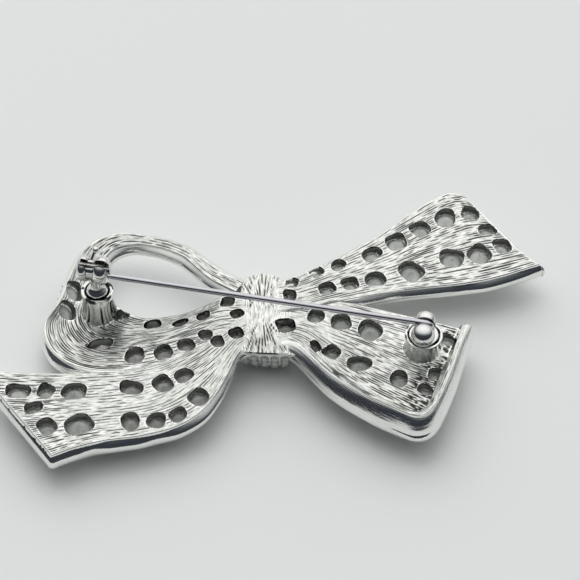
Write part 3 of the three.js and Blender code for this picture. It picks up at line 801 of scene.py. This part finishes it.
# Where the left loop's two strands run. They overlap a little at their join.
FAR_SPAN, NEAR_SPAN = (0, 5.04), (4.96, len(LEFT_LOOP) - 1)
pieces = [
    strip("far_strand", LEFT_LOOP, SEED, plate_front, span=FAR_SPAN),
    strip("near_strand", LEFT_LOOP, SEED + 10, plate_front, span=NEAR_SPAN, lip=0.05),
    strip("left_tail", LEFT_TAIL, SEED + 20, plate_front, round_ends=(False, True), lip=0.05),
    strip("right_tail", RIGHT_TAIL, SEED + 30, plate_front, round_ends=(False, True), lip=0.05),
    strip("right_loop", RIGHT_LOOP, SEED + 40, plate_front, pitted=3.9),
    strip("right_band", RIGHT_BAND, SEED + 50, band_front, round_ends=(False, True), polished=0.3,
          overhang=0.45),
    end_wall("left_tail_end", LEFT_TAIL),
    end_wall("right_tail_end", RIGHT_TAIL),
    strip("knot", KNOT, SEED + 70, knot_front, engraving=fan_grooves),
    post("catch_post", POST_X, foot=2.4, rim=7.85, radius=2.3, flare=0.6, cup=1.8, cup_depth=0.6,
         flutes=0.36),
    post("hinge_post", RIVET.x, foot=4.8, rim=8.35, radius=2.65, flare=0.3, cup=2.2, cup_depth=0.4,
         flutes=0.12),
]
bow = combine(pieces[0], pieces[1:], "UNION")
cutters = [hole_cutter(stone) for stone in all_stones]
holes = combine(cutters[0], cutters[1:], "UNION")
# The hole walls get a middling groove value, which paints them darker: painted shade inside the holes.
add_values(holes, brushed=0.0, groove=0.5)
bow = combine(bow, [holes], "DIFFERENCE")
bow = combine(bow, [front_beads(all_stones)], "UNION")
bow.name = "bow"
smooth_by_angle(bow, 40)

gems = []
table_z = -THICKNESS - STONE_PROUD
for ribbon, found in cad_stones.items():
    here = [stone for stone, node in found]
    here += [stone for stone, hole in zip(open_stones, OPEN_HOLES) if hole[0] == ribbon]
    cut = [cut_stone("gem", stone.radius + STONE_OVER, stone.place, table_z) for stone in here]
    piece = join(cut, f"stones_{ribbon}")
    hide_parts(*[node for s, node in found])
    gems.append(piece)


# ---- the knot's small crystals ----

PAVE_RADIUS = 0.6
PAVE_PITCH = 1.32
PAVE_MARGIN = 0.1
PAVE_PROUD = 0.2


def knot_pave():
    """Rows of small crystals over the knot's front, evenly spaced along its curve and square to it."""
    ends = len(KNOT) - 1

    def on_front(u, v):
        at = np.array([[u]]), np.array([[v]])
        point = back_surface(KNOT, *at)
        height = knot_front(point, *at)
        return Vector((*point[0, 0, :2], float(height[0, 0])))

    guide = np.linspace(0, ends, 160)
    line = [on_front(u, 0.5) for u in guide]
    run = np.concatenate([[0], np.cumsum([(b - a).length for a, b in zip(line, line[1:])])])
    room = run[-1] - 2 * PAVE_MARGIN
    rows = int(room / PAVE_PITCH)
    cut = []
    for i in range(rows):
        u = float(np.interp(PAVE_MARGIN + room * (i + 0.5) / rows, run, guide))
        width = (on_front(u, 0) - on_front(u, 1)).length
        count = int(width / PAVE_PITCH)
        for j in range(count):
            v = (j + 0.5) / count
            here = on_front(u, v)
            along = on_front(min(u + 0.02, ends), v) - on_front(max(u - 0.02, 0), v)
            across = on_front(u, min(v + 0.03, 1)) - on_front(u, max(v - 0.03, 0))
            matrix = Matrix.Translation(here) @ turn_to_back(along, across)
            cut.append(cut_stone("pave", PAVE_RADIUS, matrix, -PAVE_PROUD))
    return join(cut, "knot_pave")


pave = knot_pave()

# ---- the catch ----

# Each lobe: from, to, radius and rounding, along X from the lever's slot.
TIP_LOBE = (-1.8, -0.4, 1.8, 0.6)
STEM_LOBE = (0.4, 2.6, 2.0, 1.0)
TUBE = (-1.35, 1.7)
TUBE_OUTER, TUBE_INNER, BORE, TUBE_END_PLAY = 1.35, 1.05, 1.45, 0.05
# The foot that stands in the post's cup, and the neck that narrows into the lobes.
CATCH_FOOT = [
    (0, 7.3), (1.2, 7.3), (1.45, 7.38), (1.56, 7.6), (1.5, 7.95), (1.25, 8.3), (0.92, 8.6), (0.78, 8.9),
    (0.74, 9.3), (0.74, 10.2), (0, 10.2),
]
MOUTH = 1.1
LEVER_LEAN, LEVER_TILT = math.radians(45), math.radians(14)
LEVER_FROM, LEVER_REACH, LEVER_SHIFT = 1.15, 2.8, -0.1
LEVER_BALL, LEVER_BEAD = 0.5, 0.27
ARM_HALF_X, ARM_HALF_Y = 0.17, 0.35


def finding(name, obj, body, node):
    """Names a finished piece, sets it on its body and lets it stand for its CAD node."""
    obj.name = name
    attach(obj, body)
    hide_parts(node)
    return smooth_by_angle(obj, 35)


def catch_housing():
    """Two lobes on a necked foot, bored along their axis and slotted from the bore out to the back."""
    lobes = [rounded_rod("lobe", radius, low, high, rounding, 72, "X", CATCH, 12)
             for low, high, radius, rounding in (TIP_LOBE, STEM_LOBE)]
    foot = turned("foot", CATCH_FOOT, 72, at=(POST_X, PIN_Y, 0))
    saddle = block("saddle", CATCH + Vector((-1.3, -0.7, -1.95)), CATCH + Vector((1.6, 0.4, -1.5)))
    whole = combine(foot, [saddle, *lobes], "UNION")
    low, high = TUBE[0] - TUBE_END_PLAY, TUBE[1] + TUBE_END_PLAY
    half = MOUTH / 2
    bore = turned("bore", [(0, low), (BORE, low), (BORE, high), (0, high)], 64, "X", CATCH)
    way = turned("way", [(0, 0), (half, 0), (half, 3), (0, 3)], 32, "X", (CATCH.x, PIN_Y, PIN_Z))
    mouth = block("mouth", (CATCH.x + low, PIN_Y - half, PIN_Z), (CATCH.x + 3, PIN_Y + half, PIN_Z + 4))
    return combine(whole, [bore, way, mouth], "DIFFERENCE")


def catch_lever():
    """The slotted tube that turns in the lobes, and its thumb lever: a flat arm, a bead and an end ball."""
    tube = rounded_rod("tube", TUBE_OUTER, *TUBE, 0.08, 64, "X", CATCH, 3)
    arm = block("arm", (-ARM_HALF_X, -ARM_HALF_Y, LEVER_FROM), (ARM_HALF_X, ARM_HALF_Y, LEVER_REACH))
    ball = turned("ball", ball_profile(LEVER_BALL, LEVER_REACH), 40)
    bead = turned("bead", ball_profile(LEVER_BEAD, LEVER_REACH - LEVER_BALL), 40)
    tilt = Matrix.Translation((LEVER_SHIFT * MM, 0, LEVER_FROM * MM)) @ Matrix.Rotation(LEVER_TILT, 4, "Y")
    tilt = tilt @ Matrix.Translation((0, 0, -LEVER_FROM * MM))
    lean = Matrix.Translation(CATCH * MM) @ Matrix.Rotation(-LEVER_LEAN, 4, "X")
    for obj in (arm, ball, bead):
        obj.data.transform(lean @ tilt)
    whole = combine(tube, [arm, ball, bead], "UNION")
    far, half = 9, MOUTH / 2
    inside = turned("inside", [(0, -far), (TUBE_INNER, -far), (TUBE_INNER, far), (0, far)], 48, "X", CATCH)
    corner = Vector((far, half, 0))
    foot = Vector((CATCH.x, PIN_Y, CATCH.z))
    mouth = block("mouth", foot - corner, foot + corner + Vector((0, 0, 1.4)))
    return combine(whole, [inside, mouth], "DIFFERENCE")


# ---- the hinge and the pin ----

# The round foot's radius, from, to and rounding.
HINGE_FOOT = (2.05, 8.0, 8.45, 0.18)
CHEEK_GAP = 1.3
# Each cheek is a ball cut flat on its inner side: which side, its radius, and its middle from that face.
CHEEKS = [(-1, 1.65, 0.75), (1, 1.5, 0.45)]
WEB_THICKNESS, WEB_HALF_WIDTH, WEB_FROM, WEB_TO = 1.0, 1.0, 8.2, 9.2
RIVET_RADIUS, RIVET_HALF = 0.42, 1.5
RIVET_BORE, BORE_IN_CHEEK = 0.52, 0.95
TIP_PAST_CATCH = 1.2
# The point: radius and distance from the tip, up to the full wire.
PIN_POINT = [(0, 0), (0.06, 0.03), (0.11, 0.12), (0.2, 1.1), (0.3, 2.7), (0.38, 4.5), (WIRE, 6)]


def cheek(side, radius, middle):
    """One cheek and the web that holds it to the foot."""
    start = -math.asin(middle / radius)
    turns = [start + (math.pi / 2 - start) * i / 24 for i in range(24)]
    dome = [(radius * math.cos(t), middle + radius * math.sin(t)) for t in turns]
    inner = PIN_Y + side * CHEEK_GAP / 2
    outer = inner + side * WEB_THICKNESS
    ear = turned("ear", [(0, 0), *dome, (0, middle + radius)], 72)
    upright = Matrix.Rotation(-side * math.pi / 2, 4, "X")
    ear.data.transform(Matrix.Translation(Vector((RIVET.x, inner, RIVET.z)) * MM) @ upright)
    low = (RIVET.x - WEB_HALF_WIDTH, min(inner, outer), WEB_FROM)
    high = (RIVET.x + WEB_HALF_WIDTH, max(inner, outer), WEB_TO)
    return [ear, block("web", low, high)]


def hinge_housing():
    """A round foot with two cheeks, and a blind bore into both for the rivet."""
    foot = rounded_rod("foot", *HINGE_FOOT, 72, at=(RIVET.x, PIN_Y, 0))
    parts = [part for side, radius, middle in CHEEKS for part in cheek(side, radius, middle)]
    whole = combine(foot, parts, "UNION")
    reach = CHEEK_GAP / 2 + BORE_IN_CHEEK
    profile = [(0, -reach), (RIVET_BORE, -reach), (RIVET_BORE, reach), (0, reach)]
    return combine(whole, [turned("bore", profile, 48, "Y", RIVET)], "DIFFERENCE")


def pin_eye():
    """The wire bent into a ring round the rivet."""
    big, small = 64, 32
    verts, faces = [], []
    for i, (x, z) in enumerate(circle(1, big)):
        for j, (out, y) in enumerate(circle(WIRE, small)):
            verts.append((RIVET.x + (EYE + out) * x, PIN_Y + y, RIVET.z + (EYE + out) * z))
            faces.append((i * small + j, i * small + (j + 1) % small,
                          (i + 1) % big * small + (j + 1) % small, (i + 1) % big * small + j))
    return face_out(place("eye", verts, faces))


def pin_wire():
    """The straight, pointed stem and its eye, tilted together about the rivet."""
    tip_x = CATCH.x - TIP_PAST_CATCH
    length = RIVET.x - tip_x
    full = PIN_POINT[-1][1]
    profile = PIN_POINT + [(WIRE, full + (length - full) * i / 20) for i in range(1, 21)]
    profile.append((0, length))
    stem = turned("wire", profile, 40, "X", (tip_x, PIN_Y, RIVET.z + EYE))
    whole = combine(stem, [pin_eye()], "UNION")
    centre = Matrix.Translation(RIVET * MM)
    whole.data.transform(centre @ Matrix.Rotation(PIN_TILT, 4, "Y") @ centre.inverted())
    return whole


housing = finding("catch_housing", catch_housing(), "root", "catch_base")
lever = finding("catch_lever", catch_lever(), "rotator", "catch_rotator")
hinge = finding("hinge_housing", hinge_housing(), "root", "hinge_base")
wire = finding("pin_wire", pin_wire(), "pin", "pin_stem")
rivet = rounded_rod("hinge_pin", RIVET_RADIUS, -RIVET_HALF, RIVET_HALF, 0.08, 40, "Y", RIVET)
finding("hinge_pin", rivet, "root", "hinge_rivet")

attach(bow, "root")
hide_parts("bow_casting")
for piece in [*gems, pave]:
    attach(piece, "root")


# ---- materials ----

class Recipe:
    """The node tree of a material or a world, with short ways to add and join its nodes."""

    def __init__(self, owner, shader="Principled BSDF"):
        owner.use_nodes = True
        self.owner = owner
        self.tree = owner.node_tree
        self.shader = self.tree.nodes[shader]

    def node(self, kind, settings=None, **inputs):
        made = self.tree.nodes.new(kind)
        for key, value in (settings or {}).items():
            setattr(made, key, value)
        for key, value in inputs.items():
            self.feed(made.inputs[key.replace("_", " ")], value)
        return made

    def feed(self, socket, value):
        if isinstance(value, bpy.types.NodeSocket):
            self.tree.links.new(value, socket)
        else:
            socket.default_value = value

    def math(self, operation, *values):
        made = self.node("ShaderNodeMath", {"operation": operation})
        for socket, value in zip(made.inputs, values):
            self.feed(socket, value)
        return made.outputs[0]

    def noise(self, coordinates, scale, detail=2.0, stretch=(1, 1, 1)):
        mapping = self.node("ShaderNodeMapping", Vector=coordinates, Scale=stretch)
        made = self.node("ShaderNodeTexNoise", Vector=mapping.outputs[0], Scale=scale, Detail=detail)
        return made.outputs["Fac"]

    def spread(self, value, low, high, to_low=0.0, to_high=1.0):
        limits = {"From_Min": low, "From_Max": high, "To_Min": to_low, "To_Max": to_high}
        return self.node("ShaderNodeMapRange", Value=value, **limits).outputs["Result"]

    def mix(self, share, low, high):
        made = self.node("ShaderNodeMix", {"data_type": "RGBA"}, Factor=share, A=low, B=high)
        return made.outputs["Result"]

    def attribute(self, name):
        return self.node("ShaderNodeAttribute", {"attribute_name": name}).outputs["Fac"]

    def place_of_surface(self):
        return self.node("ShaderNodeTexCoord").outputs["Object"]

    def bump(self, height, distance, strength=1.0):
        made = self.node("ShaderNodeBump", Height=height, Distance=distance, Strength=strength)
        self.feed(self.shader.inputs["Normal"], made.outputs["Normal"])

    def set(self, **values):
        for key, value in values.items():
            self.feed(self.shader.inputs[key.replace("_", " ")], value)


def cast_silver():
    """Bright plate: brushed along the grain where the point value says so, smooth and polished elsewhere. Its
    engraved lines, pits and hollows are painted near-black: painted shade, partly tarnish.
    """
    m = Recipe(bpy.data.materials.new("cast_silver"))
    brushed, groove = m.attribute("brushed"), m.attribute("groove")
    grain = m.node("ShaderNodeUVMap", {"uv_map": "grain"}).outputs[0]
    streaks = m.noise(grain, 1.0, 3.0, (7.0, 0.55, 1))
    long_streaks = m.noise(grain, 1.0, 2.0, (3.2, 0.22, 1))
    pits = m.noise(m.place_of_surface(), 5200, 2.0)
    patches = m.noise(m.place_of_surface(), 260, 3.0)
    mottle = m.math("MULTIPLY", m.spread(m.noise(grain, 1.0, 3.0, (2.6, 1.0, 1)), 0.42, 0.62), brushed)
    # Painted shade, partly tarnish: the groove value (engraved lines, pits, hole walls, post flutes and cups)
    # and the dark streaks along the grain mix the colour towards near-black. The worn patches on the post
    # rims are wear.
    dark_lines = m.math("MULTIPLY", m.spread(streaks, 0.5, 0.64), brushed)
    shade_and_grime = m.math("MAXIMUM", m.spread(groove, 0.1, 0.6), m.math("MULTIPLY", dark_lines, 0.6))
    clean = m.mix(m.spread(patches, 0.3, 0.7), (0.86, 0.87, 0.835, 1), (0.95, 0.955, 0.93, 1))
    silver = m.mix(m.math("MULTIPLY", mottle, 0.55), clean, (0.46, 0.47, 0.42, 1))
    m.set(Base_Color=m.mix(shade_and_grime, silver, (0.05, 0.054, 0.05, 1)))
    m.set(Metallic=1.0, Roughness=m.math("MULTIPLY_ADD", brushed, 0.2, 0.09))
    height = m.math("MULTIPLY", m.math("ADD", streaks, long_streaks), brushed)
    m.bump(m.math("ADD", height, m.math("MULTIPLY", pits, 0.25)), 0.00004, 0.9)
    return m.owner


def polished_metal(name, colour, roughness):
    """Mirror-bright metal with faint smears and fine wear."""
    m = Recipe(bpy.data.materials.new(name))
    at = m.place_of_surface()
    smears = m.noise(at, 420, 3.0)
    scratches = m.noise(at, 2600, 2.0, (1, 3, 1))
    darker = tuple(c * 0.86 for c in colour[:3]) + (1,)
    m.set(Base_Color=m.mix(smears, darker, colour), Metallic=1.0)
    m.set(Roughness=m.spread(smears, 0.3, 0.7, roughness, roughness + 0.07))
    m.bump(scratches, 0.00001, 0.35)
    return m.owner


def crystal_glass():
    """Clear lead crystal, with a trace of grime that greys some facets."""
    m = Recipe(bpy.data.materials.new("crystal"))
    haze = m.noise(m.place_of_surface(), 900, 2.0)
    m.set(Base_Color=m.mix(m.spread(haze, 0.35, 0.65), (0.78, 0.80, 0.76, 1), (1.0, 1.0, 0.98, 1)))
    m.set(Roughness=m.spread(haze, 0.4, 0.7, 0.0, 0.06), IOR=1.56, Transmission_Weight=0.6)
    return m.owner


def paper():
    """A pale matt floor."""
    m = Recipe(bpy.data.materials.new("floor"))
    tone = m.noise(m.place_of_surface(), 6, 3.0)
    m.set(Base_Color=m.mix(tone, (0.80, 0.815, 0.81, 1), (0.83, 0.845, 0.84, 1)), Roughness=0.55)
    m.bump(m.noise(m.place_of_surface(), 900, 3.0), 0.00002, 0.3)
    return m.owner


def wear(obj, material):
    obj.data.materials.clear()
    obj.data.materials.append(material)


silver = cast_silver()
plate = polished_metal("polished_plate", (0.84, 0.84, 0.82, 1), 0.05)
steel = polished_metal("drawn_steel", (0.64, 0.63, 0.67, 1), 0.05)
glass = crystal_glass()
wear(bow, silver)
for piece in (housing, lever, hinge):
    wear(piece, plate)
for piece in (wire, rivet):
    wear(piece, steel)
for piece in [*gems, pave]:
    wear(piece, glass)

# ---- floor, light and camera ----

FLOOR_SIZE_M = 3.0
bpy.ops.mesh.primitive_plane_add(size=FLOOR_SIZE_M, location=(0, 0, 0))
floor = bpy.context.object
floor.name = "floor"
wear(floor, paper())


WINDOW_AT_M = Vector((-0.3, 0.6, 0.9))
window_data = bpy.data.lights.new("window", "AREA")
window_data.shape = "DISK"
window_data.size = 1.3
window_data.energy = 4.1
window_data.color = (1.0, 0.995, 0.98)
window = put_in_scene("window", window_data)
window.location = WINDOW_AT_M
window.rotation_euler = (-WINDOW_AT_M).to_track_quat("-Z", "Y").to_euler()
window.visible_glossy = False

# The room: bright above and behind, dim on the near side and towards the floor.
BRIGHT_SIDE = Vector((-0.05, 0.56, 0.83)).normalized()
ROOM = [
    (0.0, (0.04, 0.045, 0.055)), (0.24, (0.08, 0.09, 0.10)), (0.44, (0.40, 0.41, 0.42)),
    (0.72, (1.04, 1.05, 1.04)), (1.0, (1.34, 1.34, 1.33)),
]
ROOM_STRENGTH = 0.92
WALL_COLOUR = (0.70, 0.72, 0.71, 1)

world = Recipe(bpy.data.worlds.new("studio"), "Background")
bpy.context.scene.world = world.owner
facing = world.node("ShaderNodeVectorMath", {"operation": "DOT_PRODUCT"})
world.feed(facing.inputs[0], world.node("ShaderNodeTexCoord").outputs["Generated"])
world.feed(facing.inputs[1], BRIGHT_SIDE)
ramp = world.node("ShaderNodeValToRGB", Fac=facing.outputs["Value"])
for position, colour in ROOM[1:-1]:
    ramp.color_ramp.elements.new(position)
for element, (position, colour) in zip(ramp.color_ramp.elements, ROOM):
    element.position = position
    element.color = (*colour, 1)
world.set(Color=ramp.outputs["Color"], Strength=ROOM_STRENGTH)
# What is seen past the floor's far edge is a plain pale wall, whatever the room's light is there.
seen = world.node("ShaderNodeLightPath").outputs["Is Camera Ray"]
wall = world.node("ShaderNodeBackground", Color=WALL_COLOUR)
either = world.node("ShaderNodeMixShader", Fac=seen)
world.feed(either.inputs[1], world.shader.outputs["Background"])
world.feed(either.inputs[2], wall.outputs["Background"])
world.feed(world.tree.nodes["World Output"].inputs["Surface"], either.outputs["Shader"])

CAMERA_AIM = Vector((3.43, 3.03, 9.18)) * MM
CAMERA_DISTANCE = 0.280
CAMERA_AZIMUTH, CAMERA_ELEVATION = math.radians(10.4), math.radians(50)
camera_data = bpy.data.cameras.new("camera")
camera_data.angle = math.radians(16.5)
camera_data.clip_start = 0.01
camera = put_in_scene("camera", camera_data)
back = Vector((
    math.sin(CAMERA_AZIMUTH) * math.cos(CAMERA_ELEVATION),
    -math.cos(CAMERA_AZIMUTH) * math.cos(CAMERA_ELEVATION),
    math.sin(CAMERA_ELEVATION),
))
camera.location = CAMERA_AIM + back * CAMERA_DISTANCE
camera.rotation_euler = (-back).to_track_quat("-Z", "Y").to_euler()
bpy.context.scene.camera = camera
bpy.context.scene.view_settings.view_transform = "Standard"

bpy.context.view_layer.update()
